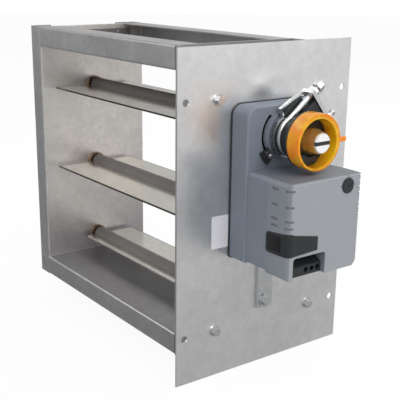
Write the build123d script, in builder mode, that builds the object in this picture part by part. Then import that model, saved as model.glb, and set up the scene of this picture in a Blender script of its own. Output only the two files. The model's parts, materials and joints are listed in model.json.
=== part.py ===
"""Rectangular volume control damper with a direct-mounted rotary actuator.

X runs along the blade shafts, with +X towards the actuator. Y runs along the air flow, with the
front opening at -Y. Z is up. The origin is the centre of the duct opening at half the frame depth.
Every length is in millimetres and every angle in degrees.
"""
from build123d import *
import math
import os

os.makedirs("parts", exist_ok=True)

# ---------------------------------------------------------------- driving dimensions
# frame
opening_width = 252.0       # clear duct width between the side webs
opening_height = 238.0      # clear duct height between the top and bottom webs
frame_depth = 130.0         # front flange face to rear flange face
flange_width = 21.0         # height of the duct flanges
lip_width = 24.0            # returned lip at the edge of each flange
frame_sheet = 1.2           # galvanised sheet of the channels
bend_radius = 2.0           # outer radius of the folds
seat_lip_front = 40.0       # wider front lip under the drive plate
seat_lip_rear = 30.0        # rear lip under the drive plate, turned outwards
tab_height = 15.0           # folded end tabs of the top and bottom channels
tab_half_depth = 48.0
rivet_radius = 2.4
rivet_half_spacing = 34.0

# blades
blade_pitch = 88.0          # distance between blade axes
top_blade_drop = 44.0       # top web to the first blade axis
blade_sheet = 1.5
blade_front = 50.0          # blade axis to the leading edge
blade_rear = 43.4           # blade axis to the trailing edge
floor_gap = 0.7             # closed edge of the trimmed bottom blade to the bottom web
blade_end_gap = 4.5         # blade end to side web
shaft_radius = 6.0
closing_angle = 88.0        # open blades turn this far to shut

# bushes
bush_barrel_radius = 7.5
bush_flange_radius = 9.0
bush_flange = 4.0           # thickness of the bush flange
bush_barrel = 5.0           # barrel length beyond the web face
retainer_radius = 11.0
retainer_sheet = 0.8

# linkage inside the drive side channel
crank_length = 24.0
crank_hub_radius = 8.5
crank_end_radius = 6.0
crank_sheet = 3.0
crank_hub_length = 8.4
crank_start = 5.6           # web face to the first face of the cranks
link_sheet = 2.5
link_half_width = 6.0
pin_radius = 3.0
pin_head_radius = 4.5
pin_head = 1.2
tie_arm_angle = 136.0       # direction of the tie bar arms with the blades open

# drive plate
plate_sheet = 1.5
plate_front_overhang = 13.0
plate_rear_overhang = 54.0
plate_bottom_overhang = 20.0
plate_hole_radius = 3.2
plate_hole_edge = 8.5       # hole centres to the front and rear edges
plate_hole_top = 45.0       # hole centres to the top edge
plate_hole_bottom = 44.5    # hole centres to the bottom edge
seat_screw_front = 29.0     # front screws behind the front flange face
seat_screw_rear = 13.5      # rear screws beyond the rear flange face
seat_screw_radius = 2.4

# actuator
drive_y = 20.0              # actuator axis
drive_z = 63.2
drive_shaft_radius = 8.0
drive_shaft_reach = 68.5    # shaft end beyond the drive plate
case_width = 83.0
case_above = 26.8           # top of the rear housing above the actuator axis
case_below = 110.7          # bottom of the rear housing below the actuator axis
case_big_corner = 10.0      # rounded top corner on the front side
case_corner = 3.5           # the other corners
case_edge = 2.0             # soft front edge of the rear housing
case_wall = 2.2
pad_sheet = 1.5             # black pad between plate and rear housing
pad_margin = 0.8            # the pad stands out round the rear housing
rear_depth = 20.5           # rear housing thickness
mid_depth = 27.0
cover_depth = 28.0
box_drop = 27.7             # top of the lower box below the actuator axis
box_inset = 1.2             # the middle housing is narrower than the front cover
box_corner = 4.0
cover_corner = 5.0          # rounding of the upright front corners of the front cover
cover_bevel = 1.6           # bevel of its top front edge
cover_low_bevel = 7.0       # bevel of its lower rear corner
vent_drops = (6.0, 19.4, 31.4, 37.3)
notch_drops = (2.5, 7.5, 12.5, 17.5, 26.7, 31.0, 36.8)
vent_half_height = 0.9
recess_depth = 16.0
recess_height = 19.5
sleeve_radius = 17.5
flange_disc_radius = 24.3
slot_radius = 24.2          # arc slot of the adjustable end stop
slot_width = 3.6
slot_start = 131.0
slot_end = 227.0
stop_angle = 217.0
boss_height = 1.5           # raised ring of the rear housing round the hub
clamp_angle = 38.0          # direction of the clamp bolt legs with the blades open
clamp_station = 10.5        # rear housing face to the middle of the clamp bolt
ubolt_radius = 15.3
ubolt_rod = 2.6
leg_nut_margin = 0.8        # bolt end beyond its outer nut
ring_bore_radius = 20.8     # bore of the position ring, a little off its centre
ring_bore_shift = (-0.8, -1.0)
ring_length = 13.6
disc_sheet = 2.0            # flange of the hub behind the position ring
knob_radius = 6.6
knob_from_right = 17.9
knob_from_top = 9.4

# anti-rotation strap
strap_length = 57.0         # housing bottom to the foot of the strap
strap_gap = 2.5
tongue_reach = 13.0

# fits
running_fit = 0.05          # radial clearance of shafts and pivots
seat_fit = 0.02             # radial clearance of parts fixed to each other
open_pivot = 0.3            # radial clearance of the two loose pivots of the linkage
moving_gap = 0.4            # axial gap between parts that turn past each other

# ---------------------------------------------------------------- derived places
half_width = opening_width / 2
half_height = opening_height / 2
half_depth = frame_depth / 2
outer_half_width = half_width + flange_width
outer_half_height = half_height + flange_width
web_outer = half_width + frame_sheet

blade_axes = [half_height - top_blade_drop - n * blade_pitch for n in range(3)]
stub_front = blade_axes[-1] + half_height - floor_gap
blade_fronts = [blade_front, blade_front, stub_front]
blade_half_length = half_width - blade_end_gap
crest_radius = shaft_radius + seat_fit

plate_x0 = outer_half_width
plate_x1 = plate_x0 + plate_sheet
plate_y = (-half_depth - plate_front_overhang, half_depth + plate_rear_overhang)
plate_z = (-outer_half_height - plate_bottom_overhang, outer_half_height)
plate_hole_y = (plate_y[0] + plate_hole_edge, plate_y[1] - plate_hole_edge)
plate_hole_z = (plate_z[0] + plate_hole_bottom, plate_z[1] - plate_hole_top)
seat_screw_y = (-half_depth + seat_screw_front, half_depth + seat_screw_rear)

crank_x0 = half_width + crank_start
crank_x1 = crank_x0 + crank_sheet
link_x0 = crank_x1 + moving_gap
link_x1 = link_x0 + link_sheet
pin_head_x = link_x1 + moving_gap
drive_axis = (drive_y, drive_z)
link_angle = math.degrees(math.atan2(drive_z - blade_axes[0], drive_y))
drive_arm_angle = link_angle + 90 - closing_angle / 2

case_y = (drive_y - case_width / 2, drive_y + case_width / 2)
case_z = (drive_z - case_below, drive_z + case_above)
pad_x1 = plate_x1 + pad_sheet
rear_x1 = pad_x1 + rear_depth
mid_x1 = rear_x1 + mid_depth
cover_x1 = mid_x1 + cover_depth
box_top = drive_z - box_drop
shaft_end_x = plate_x1 + drive_shaft_reach


# ---------------------------------------------------------------- shared shapes
def save(piece, name):
    """Label a finished piece and write its STEP file."""
    piece.part.label = name
    export_step(piece.part, f"parts/{name}.step")


def polar(centre, radius, angle):
    """Point at a radius and angle from a centre, in the YZ plane."""
    turn = math.radians(angle)
    return (centre[0] + radius * math.cos(turn), centre[1] + radius * math.sin(turn))


def bar(x0, x1, radius, *centres, mode=Mode.ADD):
    """Round bars or bores along X between two stations, in the active part."""
    with BuildSketch(Plane.YZ.offset(x0)) as section:
        with Locations(*centres):
            Circle(radius)
    extrude(section.sketch, amount=x1 - x0, mode=mode)


def block(x, y, z, corner=0.0, mode=Mode.ADD):
    """Block between pairs of X, Y and Z values, its edges along X rounded by corner."""
    with BuildSketch(Plane.YZ.offset(x[0])) as section:
        with Locations(((y[0] + y[1]) / 2, (z[0] + z[1]) / 2)):
            if corner > 0:
                RectangleRounded(y[1] - y[0], z[1] - z[0], corner)
            else:
                Rectangle(y[1] - y[0], z[1] - z[0])
    extrude(section.sketch, amount=x[1] - x[0], mode=mode)


def folded_section(plane, points, side):
    """Cross-section of a folded sheet along a path with rounded bends."""
    with BuildSketch(plane) as section:
        with BuildLine():
            FilletPolyline(*points, radius=bend_radius)
            offset(amount=frame_sheet, side=side)
        make_face()
    return section.sketch


def upright(centre, radius, low, high, mode=Mode.ADD):
    """Round bar or bore along Z between two heights, in the active part."""
    with BuildSketch(Plane.XY.offset(low)) as section:
        with Locations(centre):
            Circle(radius)
    extrude(section.sketch, amount=high - low, mode=mode)


def arm_section(x, centre, end, hub, tip):
    """Outline of a crank arm: two circles joined by their common tangents."""
    with BuildSketch(Plane.YZ.offset(x)) as section:
        with Locations(centre):
            Circle(hub)
        with Locations(end):
            Circle(tip)
        make_hull()
    return section.sketch


def ring_sector(x0, x1, centre, radii, angles, mode=Mode.ADD):
    """Sector of a ring about an axis along X."""
    with BuildSketch(Plane.YZ.offset(x0)) as section:
        with BuildLine():
            span = angles[1] - angles[0]
            CenterArc(centre, radii[1], angles[0], span)
            CenterArc(centre, radii[0], angles[0], span)
            Line(polar(centre, radii[0], angles[0]), polar(centre, radii[1], angles[0]))
            Line(polar(centre, radii[0], angles[1]), polar(centre, radii[1], angles[1]))
        make_face()
    extrude(section.sketch, amount=x1 - x0, mode=mode)


# ---------------------------------------------------------------- frame channels
rivet_z = half_height + frame_sheet + tab_height / 2 + 1.5
corner_rivets = [(y, z) for y in (-rivet_half_spacing, rivet_half_spacing) for z in (-rivet_z, rivet_z)]


def cross_channel(name, up):
    """Top or bottom channel, open away from the duct, with a riveted tab at each end."""
    flip = 1 if up else -1
    path = [
        (-half_depth + lip_width, outer_half_height),
        (-half_depth, outer_half_height),
        (-half_depth, half_height),
        (half_depth, half_height),
        (half_depth, outer_half_height),
        (half_depth - lip_width, outer_half_height),
    ]
    with BuildPart() as channel:
        section = folded_section(
            Plane.YZ.offset(-half_width),
            [(y, flip * z) for y, z in path],
            Side.LEFT if up else Side.RIGHT,
        )
        extrude(section, amount=opening_width)
        low, high = sorted((flip * half_height, flip * (half_height + frame_sheet + tab_height)))
        for x0 in (-half_width, half_width - frame_sheet):
            block((x0, x0 + frame_sheet), (-tab_half_depth, tab_half_depth), (low, high))
            own_rivets = [point for point in corner_rivets if point[1] * flip > 0]
            bar(x0, x0 + frame_sheet, rivet_radius + seat_fit, *own_rivets, mode=Mode.SUBTRACT)
    save(channel, name)


cross_channel("top_channel", True)
cross_channel("bottom_channel", False)

with BuildPart() as far_side_channel:
    far_section = folded_section(
        Plane.XY.offset(-outer_half_height),
        [
            (-outer_half_width, -half_depth + lip_width),
            (-outer_half_width, -half_depth),
            (-half_width, -half_depth),
            (-half_width, half_depth),
            (-outer_half_width, half_depth),
            (-outer_half_width, half_depth - lip_width),
        ],
        Side.LEFT,
    )
    extrude(far_section, amount=2 * outer_half_height)
    blade_centres = [(0, z) for z in blade_axes]
    bar(-web_outer, -half_width, bush_barrel_radius + seat_fit, *blade_centres, mode=Mode.SUBTRACT)
    bar(-web_outer, -half_width, rivet_radius + seat_fit, *corner_rivets, mode=Mode.SUBTRACT)
save(far_side_channel, "far_side_channel")

seat_screws = [(y, z) for y in seat_screw_y for z in plate_hole_z]
with BuildPart() as drive_side_channel:
    near_section = folded_section(
        Plane.XY.offset(-outer_half_height),
        [
            (outer_half_width, -half_depth + seat_lip_front),
            (outer_half_width, -half_depth),
            (half_width, -half_depth),
            (half_width, half_depth),
            (outer_half_width - frame_sheet, half_depth),
            (outer_half_width - frame_sheet, half_depth + seat_lip_rear),
        ],
        Side.RIGHT,
    )
    extrude(near_section, amount=2 * outer_half_height)
    web_bushes = [*blade_centres, drive_axis]
    bar(half_width, web_outer, bush_barrel_radius + seat_fit, *web_bushes, mode=Mode.SUBTRACT)
    bar(half_width, web_outer, rivet_radius + seat_fit, *corner_rivets, mode=Mode.SUBTRACT)
    lip_x = (outer_half_width - frame_sheet, outer_half_width)
    bar(*lip_x, seat_screw_radius + seat_fit, *seat_screws, mode=Mode.SUBTRACT)
save(drive_side_channel, "drive_side_channel")

rivet_head_radius = 4.4
rivet_head = 1.3
rivet_tail = 2.0
with BuildPart() as frame_rivets:
    for sign in (-1, 1):
        for centre in corner_rivets:
            inner = sign * (half_width - frame_sheet)
            outer = sign * web_outer
            bar(inner, outer, rivet_radius, centre)
            bar(inner, inner - sign * rivet_tail, rivet_radius + 1.0, centre)
            bar(outer, outer + sign * rivet_head, rivet_head_radius, centre)
save(frame_rivets, "frame_rivets")


# ---------------------------------------------------------------- bushes
with BuildPart() as blade_bushes:
    for sign in (-1, 1):
        face = sign * half_width
        inside = face - sign * bush_flange
        outside = face + sign * bush_barrel
        bar(inside, face, bush_flange_radius, *blade_centres)
        bar(face, outside, bush_barrel_radius, *blade_centres)
        bar(inside, outside, shaft_radius + running_fit, *blade_centres, mode=Mode.SUBTRACT)
save(blade_bushes, "blade_bushes")

with BuildPart() as bush_retainers:
    for sign in (-1, 1):
        start = sign * web_outer
        bar(start, start + sign * retainer_sheet, retainer_radius, *blade_centres)
        bore = bush_barrel_radius + seat_fit
        bar(start, start + sign * retainer_sheet, bore, *blade_centres, mode=Mode.SUBTRACT)
save(bush_retainers, "bush_retainers")

with BuildPart() as drive_bush_inner:
    bar(half_width, web_outer, bush_barrel_radius, drive_axis)
    bar(web_outer, web_outer + bush_flange, bush_flange_radius, drive_axis)
    bar(half_width, web_outer + bush_flange, shaft_radius + running_fit, drive_axis, mode=Mode.SUBTRACT)
save(drive_bush_inner, "drive_bush_inner")

plate_bush_radius = drive_shaft_radius + 2.0
with BuildPart() as drive_bush_plate:
    bar(plate_x0, plate_x1, plate_bush_radius, drive_axis)
    bar(plate_x0 - 2.0, plate_x0, plate_bush_radius + 2.5, drive_axis)
    bar(plate_x0 - 2.0, plate_x1, drive_shaft_radius + running_fit, drive_axis, mode=Mode.SUBTRACT)
save(drive_bush_plate, "drive_bush_plate")

# ---------------------------------------------------------------- drive plate and its screws
strap_half_width = 9.0
strap_sheet = 3.0
strap_y = drive_y + 1.0
strap_screw = (strap_y, case_z[0] - 50.5)
strap_screw_radius = 2.9
strap_pin_radius = 2.4
pin_x = plate_x1 + 10.0
plate_holes = [(y, z) for y in plate_hole_y for z in plate_hole_z]
with BuildPart() as drive_plate:
    block((plate_x0, plate_x1), plate_y, plate_z)
    bar(plate_x0, plate_x1, plate_hole_radius, *plate_holes, mode=Mode.SUBTRACT)
    bar(plate_x0, plate_x1, seat_screw_radius + seat_fit, *seat_screws, mode=Mode.SUBTRACT)
    bar(plate_x0, plate_x1, plate_bush_radius + seat_fit, drive_axis, mode=Mode.SUBTRACT)
    bar(plate_x0, plate_x1, strap_screw_radius + seat_fit, strap_screw, mode=Mode.SUBTRACT)
save(drive_plate, "drive_plate")


def hex_screw(x_seat, centre, shank, x_tip, across_flats, head, washer):
    """Flanged hexagon head screw whose washer face sits at x_seat."""
    bar(x_tip, x_seat, shank, centre)
    bar(x_seat, x_seat + 1.2, washer, centre)
    with BuildSketch(Plane.YZ.offset(x_seat + 1.2)) as hexagon:
        with Locations(centre):
            RegularPolygon(across_flats / 2, 6, major_radius=False)
    extrude(hexagon.sketch, amount=head)


with BuildPart() as plate_screws:
    for centre in seat_screws:
        hex_screw(plate_x1, centre, seat_screw_radius, plate_x0 - 7.5, 7.0, 3.6, 5.2)
save(plate_screws, "plate_screws")

# ---------------------------------------------------------------- blades
rivet_stations = (-blade_half_length * 0.66, 0.0, blade_half_length * 0.66)
blade_rivet_radius = 1.6
blade_rivet_head_radius = 3.2
spot_depth = 0.8            # flat spot under the shaft for the rivet heads
clip_groove = 1.0
clip_sheet = 0.8
clip_x = -(half_width + bush_barrel + 0.3)
shaft_far_end = clip_x - clip_sheet - 1.5
shaft_near_end = crank_x0 + crank_hub_length


def make_blade(number, axis_z, front):
    """One blade: folded sheet, shaft, rivets and the clip at the far end of the shaft."""
    with BuildPart() as sheet:
        with BuildSketch(Plane.YZ.offset(-blade_half_length)) as section:
            with BuildLine():
                left = Line((-front, axis_z - blade_sheet), (-crest_radius, axis_z - blade_sheet))
                rise = Line(left @ 1, (-crest_radius, axis_z))
                CenterArc((0, axis_z), crest_radius, 180, -180)
                fall = Line((crest_radius, axis_z), (crest_radius, axis_z - blade_sheet))
                Line(fall @ 1, (blade_rear, axis_z - blade_sheet))
                offset(amount=blade_sheet, side=Side.LEFT)
            make_face()
        extrude(section.sketch, amount=2 * blade_half_length)
        with BuildSketch(Plane.XY.offset(axis_z)) as holes:
            with Locations(*[(x, 0) for x in rivet_stations]):
                Circle(blade_rivet_radius + seat_fit)
        extrude(holes.sketch, amount=2 * shaft_radius, mode=Mode.SUBTRACT)
    save(sheet, f"blade_sheet_{number}")

    with BuildPart() as shaft:
        bar(shaft_far_end, shaft_near_end, shaft_radius, (0, axis_z))
        with BuildSketch(Plane.YZ.offset(clip_x)) as groove:
            with Locations((0, axis_z)):
                Circle(shaft_radius + 1)
                Circle(shaft_radius - clip_groove, mode=Mode.SUBTRACT)
        extrude(groove.sketch, amount=-clip_sheet - seat_fit, mode=Mode.SUBTRACT)
        with BuildSketch(Plane.XY.offset(axis_z)) as holes:
            with Locations(*[(x, 0) for x in rivet_stations]):
                Circle(blade_rivet_radius + seat_fit)
        extrude(holes.sketch, amount=2 * shaft_radius, both=True, mode=Mode.SUBTRACT)
        with BuildSketch(Plane.XY.offset(axis_z - shaft_radius + spot_depth)) as spots:
            with Locations(*[(x, 0) for x in rivet_stations]):
                Circle(blade_rivet_head_radius + seat_fit)
        extrude(spots.sketch, amount=-2 * spot_depth, mode=Mode.SUBTRACT)
    save(shaft, f"blade_shaft_{number}")

    with BuildPart() as rivets:
        head_z = axis_z - shaft_radius + spot_depth
        with BuildSketch(Plane.XY.offset(head_z)) as shanks:
            with Locations(*[(x, 0) for x in rivet_stations]):
                Circle(blade_rivet_radius)
        extrude(shanks.sketch, amount=axis_z + crest_radius + blade_sheet - head_z)
        with BuildSketch(Plane.XY.offset(head_z)) as heads:
            with Locations(*[(x, 0) for x in rivet_stations]):
                Circle(blade_rivet_head_radius)
        extrude(heads.sketch, amount=-1.4)
    save(rivets, f"blade_rivets_{number}")

    with BuildPart() as clip:
        bar(clip_x, clip_x - clip_sheet, shaft_radius + 2.5, (0, axis_z))
        inner = shaft_radius - clip_groove + seat_fit
        bar(clip_x, clip_x - clip_sheet, inner, (0, axis_z), mode=Mode.SUBTRACT)
        block(
            (clip_x - clip_sheet, clip_x),
            (-inner * 0.8, inner * 0.8),
            (axis_z - 2 * shaft_radius, axis_z),
            mode=Mode.SUBTRACT,
        )
    save(clip, f"shaft_clip_{number}")


for number, (axis_z, front) in enumerate(zip(blade_axes, blade_fronts), start=1):
    make_blade(number, axis_z, front)


# ---------------------------------------------------------------- linkage in the drive side channel
set_screw_radius = 2.0
screw_x = (crank_x1 + crank_x0 + crank_hub_length) / 2


def crank(centre, ends, bore):
    """Hub with one arm for each end point, bored for its shaft and drilled for its pins."""
    for end in ends:
        extrude(arm_section(crank_x0, centre, end, crank_hub_radius, crank_end_radius), amount=crank_sheet)
    bar(crank_x0, crank_x0 + crank_hub_length, crank_hub_radius, centre)
    bar(crank_x0, crank_x0 + crank_hub_length, bore, centre, mode=Mode.SUBTRACT)
    bar(crank_x0, crank_x1, pin_radius + seat_fit, *ends, mode=Mode.SUBTRACT)
    along_y(screw_x, centre[0], centre[1], crank_hub_radius + 1, set_screw_radius + seat_fit,
            mode=Mode.SUBTRACT)


def along_y(x, y, z, length, radius, mode=Mode.ADD):
    """Round bar or bore along +Y from a point, in the active part."""
    with BuildSketch(Plane(origin=(x, y, z), z_dir=(0, 1, 0))) as section:
        Circle(radius)
    extrude(section.sketch, amount=length, mode=mode)


def crank_screw(name, centre):
    """Socket set screw that holds a crank on its shaft, flush with the hub."""
    with BuildPart() as screw:
        start = centre[0] + shaft_radius + seat_fit
        length = crank_hub_radius - shaft_radius - 0.3
        along_y(screw_x, start, centre[1], length, set_screw_radius)
        with BuildSketch(Plane(origin=(screw_x, start + length, centre[1]), z_dir=(0, 1, 0))) as socket:
            RegularPolygon(1.0, 6, major_radius=False)
        extrude(socket.sketch, amount=-1.2, mode=Mode.SUBTRACT)
    save(screw, name)


def crank_pins(ends):
    """Headed pins through the crank arms and the bars that hang on them."""
    bar(crank_x0 - 0.8, crank_x0, pin_radius + 1.0, *ends)
    bar(crank_x0, pin_head_x, pin_radius, *ends)
    bar(pin_head_x, pin_head_x + pin_head, pin_head_radius, *ends)


tie_pins = [polar((0, z), crank_length, tie_arm_angle) for z in blade_axes]
link_pin_blade = polar((0, blade_axes[0]), crank_length, drive_arm_angle)
link_pin_drive = polar(drive_axis, crank_length, drive_arm_angle)
for number, axis_z in enumerate(blade_axes, start=1):
    ends = [tie_pins[number - 1]]
    if number == 1:
        ends.append(link_pin_blade)
    with BuildPart() as blade_crank:
        crank((0, axis_z), ends, shaft_radius + seat_fit)
    save(blade_crank, f"blade_crank_{number}")
    with BuildPart() as pins:
        crank_pins(ends)
    save(pins, f"crank_pins_{number}")
    crank_screw(f"crank_screw_{number}", (0, axis_z))

with BuildPart() as drive_crank:
    crank(drive_axis, [link_pin_drive], shaft_radius + seat_fit)
save(drive_crank, "drive_crank")
with BuildPart() as drive_crank_pin:
    crank_pins([link_pin_drive])
save(drive_crank_pin, "drive_crank_pin")
crank_screw("drive_crank_screw", drive_axis)

with BuildPart() as tie_bar:
    with BuildSketch(Plane.YZ.offset(link_x0)) as bar_outline:
        with Locations(tie_pins[1]):
            SlotCenterToCenter(2 * blade_pitch, 2 * link_half_width, rotation=90)
    extrude(bar_outline.sketch, amount=link_sheet)
    bar(link_x0, link_x1, pin_radius + running_fit, tie_pins[0], mode=Mode.SUBTRACT)
    bar(link_x0, link_x1, pin_radius + open_pivot, *tie_pins[1:], mode=Mode.SUBTRACT)
save(tie_bar, "tie_bar")

with BuildPart() as drive_link:
    extrude(arm_section(link_x0, link_pin_blade, link_pin_drive, link_half_width, link_half_width),
            amount=link_sheet)
    bar(link_x0, link_x1, pin_radius + running_fit, link_pin_drive, mode=Mode.SUBTRACT)
    bar(link_x0, link_x1, pin_radius + open_pivot, link_pin_blade, mode=Mode.SUBTRACT)
save(drive_link, "drive_link")

# ---------------------------------------------------------------- actuator: shaft and clamp
slot_mark_width = 3.4
slot_mark_depth = 1.5
journal_x = crank_x0 + crank_hub_length + 1.0
with BuildPart() as drive_shaft:
    bar(half_width + 0.3, journal_x, shaft_radius, drive_axis)
    bar(journal_x, shaft_end_x, drive_shaft_radius, drive_axis)
    block(
        (shaft_end_x - slot_mark_depth, shaft_end_x),
        (drive_y - drive_shaft_radius, drive_y + drive_shaft_radius),
        (drive_z - slot_mark_width / 2, drive_z + slot_mark_width / 2),
        mode=Mode.SUBTRACT,
    )
save(drive_shaft, "drive_shaft")

clamp_x = rear_x1 + clamp_station
clamp_plane = Plane(
    origin=(clamp_x, drive_y, drive_z),
    x_dir=(0, math.cos(math.radians(clamp_angle)), math.sin(math.radians(clamp_angle))),
    z_dir=(1, 0, 0),
)
sleeve_x0 = plate_x1 + 0.5
disc_x0 = mid_x1
disc_x1 = mid_x1 + disc_sheet
groove_half = 3.0
groove_radius = ubolt_radius - ubolt_rod - 0.1
wedge_half_width = 7.0
wedge_half_depth = 5.0
wedge_head_half_width = 11.6
wedge_head_start = sleeve_radius + 1.5
window_clearance = 0.3
bridge_start = 33.5                          # clamp bridge: distance from the shaft axis
bridge_sheet = 4.0
bridge_half_width = 20.5
bridge_half_x = 7.0
band_sheet = 1.6
band_x0 = rear_x1 + boss_height + 1.7
band_x1 = band_x0 + 3.6
band_centre = sleeve_radius + seat_fit + band_sheet / 2
band_spread = 76.0                           # the band leaves the hub this far from the bolt direction
band_shoulder = band_centre + 7.6
lug_gap = 0.2
lug_clearance = 5.2                          # end of the lug to the bridge
lug_slope = (6.3, 3.8)                       # corner cut from the lug, clear of the end stop
lug_x0 = rear_x1 + boss_height + 0.5


def clamp_section(reach, points):
    """Closed outline in the clamp's own directions: away from the shaft, then across the legs."""
    with BuildSketch(clamp_plane.offset(reach)) as section:
        with BuildLine():
            Polyline(*points, close=True)
        make_face()
    return section.sketch


def clamp_box(d, n, half_x, mode=Mode.ADD):
    """Block in the clamp's own directions."""
    points = [(d[0], n[0]), (d[1], n[0]), (d[1], n[1]), (d[0], n[1])]
    extrude(clamp_section(-half_x, points), amount=2 * half_x, mode=mode)


def band_point(radius, angle):
    """Point of the band at a radius and an angle from the bolt direction."""
    return polar((0, 0), radius, angle)


# path of the band on one side: off the hub, then out to the end of the bridge
band_root = band_point(band_centre, band_spread)
band_corner = band_point(band_shoulder, band_spread)
band_bend = (band_corner[0] + 13.5, band_corner[1] - 2.0)
band_finish = (bridge_start + 1.0, bridge_half_width - 1.0)
band_slope = (band_finish[1] - band_bend[1]) / (band_finish[0] - band_bend[0])

lug_inner = 1.1 * (band_sheet / 2 + lug_gap)
lug_shift = polar((0, 0), lug_inner, band_spread - 90)
lug_base = band_point(14.0, band_spread)
lug_top = band_point(band_shoulder - 1.2, band_spread)
lug_low = wedge_head_half_width + 0.6
lug_end_d = bridge_start - lug_clearance
lug_points = [
    (lug_base[0] + lug_shift[0], lug_base[1] + lug_shift[1]),
    (lug_end_d - lug_slope[0], lug_low),
    (lug_end_d, lug_low + lug_slope[1]),
    (lug_end_d, band_bend[1] + band_slope * (lug_end_d - band_bend[0]) - lug_inner),
    (band_bend[0], band_bend[1] - lug_inner),
    (lug_top[0] + lug_shift[0], lug_top[1] + lug_shift[1]),
]
with BuildPart() as hub_sleeve:
    bar(sleeve_x0, rear_x1, 12.5, drive_axis)
    bar(rear_x1 - case_wall, disc_x0, sleeve_radius, drive_axis)
    bar(disc_x0, disc_x1, flange_disc_radius, drive_axis)
    ring_sector(disc_x1, disc_x1 + 4.0, drive_axis, (14.0, ring_bore_radius - 0.5),
                (232.0, 292.0))
    extrude(clamp_section(lug_x0 - clamp_x, lug_points), amount=clamp_x - groove_half - lug_x0 - 0.1)
    with BuildSketch(Plane.YZ.offset(clamp_x - groove_half)) as groove:
        with Locations(drive_axis):
            Circle(sleeve_radius + 2)
            Circle(groove_radius, mode=Mode.SUBTRACT)
    extrude(groove.sketch, amount=2 * groove_half, mode=Mode.SUBTRACT)
    wall = wedge_half_width + window_clearance
    clamp_box((0, sleeve_radius + 2), (-wall, wall), wedge_half_depth + window_clearance, Mode.SUBTRACT)
    bar(sleeve_x0, disc_x1, drive_shaft_radius + seat_fit, drive_axis, mode=Mode.SUBTRACT)
save(hub_sleeve, "hub_sleeve")

nut_height = 4.0
end_nut_height = 5.6
leg_long = 50.6
leg_short = 47.0
with BuildPart() as clamp_ubolt:
    with BuildLine(clamp_plane):
        leg_one = Line((leg_long, ubolt_radius), (0, ubolt_radius))
        CenterArc((0, 0), ubolt_radius, 90, 180)
        Line((0, -ubolt_radius), (leg_short, -ubolt_radius))
    with BuildSketch(Plane(leg_one @ 0, z_dir=leg_one % 0)):
        Circle(ubolt_rod)
    sweep()
save(clamp_ubolt, "clamp_ubolt")


def leg_plane(reach):
    """Plane across the legs of the clamp bolt at a distance from the shaft axis."""
    return Plane(origin=clamp_plane.from_local_coords((reach, 0, 0)), x_dir=(-1, 0, 0),
                 z_dir=clamp_plane.x_dir)


bridge_end = bridge_start + bridge_sheet
with BuildPart() as clamp_jaw:
    clamp_box((bridge_start, bridge_end), (-bridge_half_width, bridge_half_width), bridge_half_x)
    with BuildSketch(leg_plane(bridge_start)) as leg_holes:
        with Locations((0, ubolt_radius), (0, -ubolt_radius)):
            Circle(ubolt_rod + 0.2)
    extrude(leg_holes.sketch, amount=bridge_sheet, mode=Mode.SUBTRACT)
save(clamp_jaw, "clamp_jaw")

wedge_reach = bridge_start - seat_fit
vee_apex = (drive_shaft_radius + seat_fit) * math.sqrt(2)
with BuildPart() as clamp_wedge:
    stem = [
        (wedge_reach, -wedge_half_width),
        (wedge_reach, wedge_half_width),
        (vee_apex - wedge_half_width, wedge_half_width),
        (vee_apex, 0),
        (vee_apex - wedge_half_width, -wedge_half_width),
    ]
    extrude(clamp_section(-wedge_half_depth, stem), amount=2 * wedge_half_depth)
    clamp_box((wedge_head_start, wedge_reach), (-wedge_head_half_width, wedge_head_half_width),
              wedge_half_depth + 0.6)
save(clamp_wedge, "clamp_wedge")

nut_places = [
    (bridge_end, ubolt_radius, nut_height),
    (leg_long - end_nut_height - leg_nut_margin, ubolt_radius, end_nut_height),
    (bridge_end, -ubolt_radius, nut_height),
]
with BuildPart() as clamp_nuts:
    for reach, side, height in nut_places:
        with BuildSketch(leg_plane(reach)) as nut:
            with Locations((0, side)):
                RegularPolygon(4.2, 6, major_radius=False)
                Circle(ubolt_rod + seat_fit, mode=Mode.SUBTRACT)
        extrude(nut.sketch, amount=height)
save(clamp_nuts, "clamp_nuts")

with BuildPart() as clamp_band:
    with BuildSketch(clamp_plane.offset(band_x0 - clamp_x)) as strip:
        with BuildLine():
            for side in (1, -1):
                path = [band_root, band_corner, band_bend, band_finish]
                Polyline(*[(d, side * n) for d, n in path])
            CenterArc((0, 0), band_centre, band_spread, 360 - 2 * band_spread)
            offset(amount=band_sheet / 2, side=Side.BOTH, kind=Kind.INTERSECTION)
        make_face()
    extrude(strip.sketch, amount=band_x1 - band_x0)
    beyond = (-bridge_half_width - 5, bridge_half_width + 5)
    clamp_box((bridge_start - seat_fit, bridge_start + 8), beyond, 2 * bridge_half_x, Mode.SUBTRACT)
save(clamp_band, "clamp_band")

ring_x1 = disc_x1 + ring_length
tab_reach = 7.0
with BuildPart() as position_ring:
    bar(disc_x1, ring_x1, flange_disc_radius, drive_axis)
    bore_centre = (drive_y + ring_bore_shift[0], drive_z + ring_bore_shift[1])
    bar(disc_x1, ring_x1, ring_bore_radius, bore_centre, mode=Mode.SUBTRACT)
    tab_y = (drive_y + flange_disc_radius - 1.0, drive_y + flange_disc_radius + tab_reach)
    block((ring_x1 - 3.0, ring_x1), tab_y, (drive_z - 2.0, drive_z + 2.0))
save(position_ring, "position_ring")

collar_base_radius = 12.8
collar_tip_radius = drive_shaft_radius + 1.0
collar_x1 = shaft_end_x - 1.5
with BuildPart() as shaft_collar:
    with BuildSketch(Plane.YZ.offset(disc_x1)) as collar_base:
        with Locations(drive_axis):
            Circle(collar_base_radius)
    with BuildSketch(Plane.YZ.offset(collar_x1)) as collar_tip:
        with Locations(drive_axis):
            Circle(collar_tip_radius)
    loft([collar_base.sketch, collar_tip.sketch])
    bar(disc_x1, collar_x1, drive_shaft_radius + seat_fit, drive_axis, mode=Mode.SUBTRACT)
save(shaft_collar, "shaft_collar")

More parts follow.
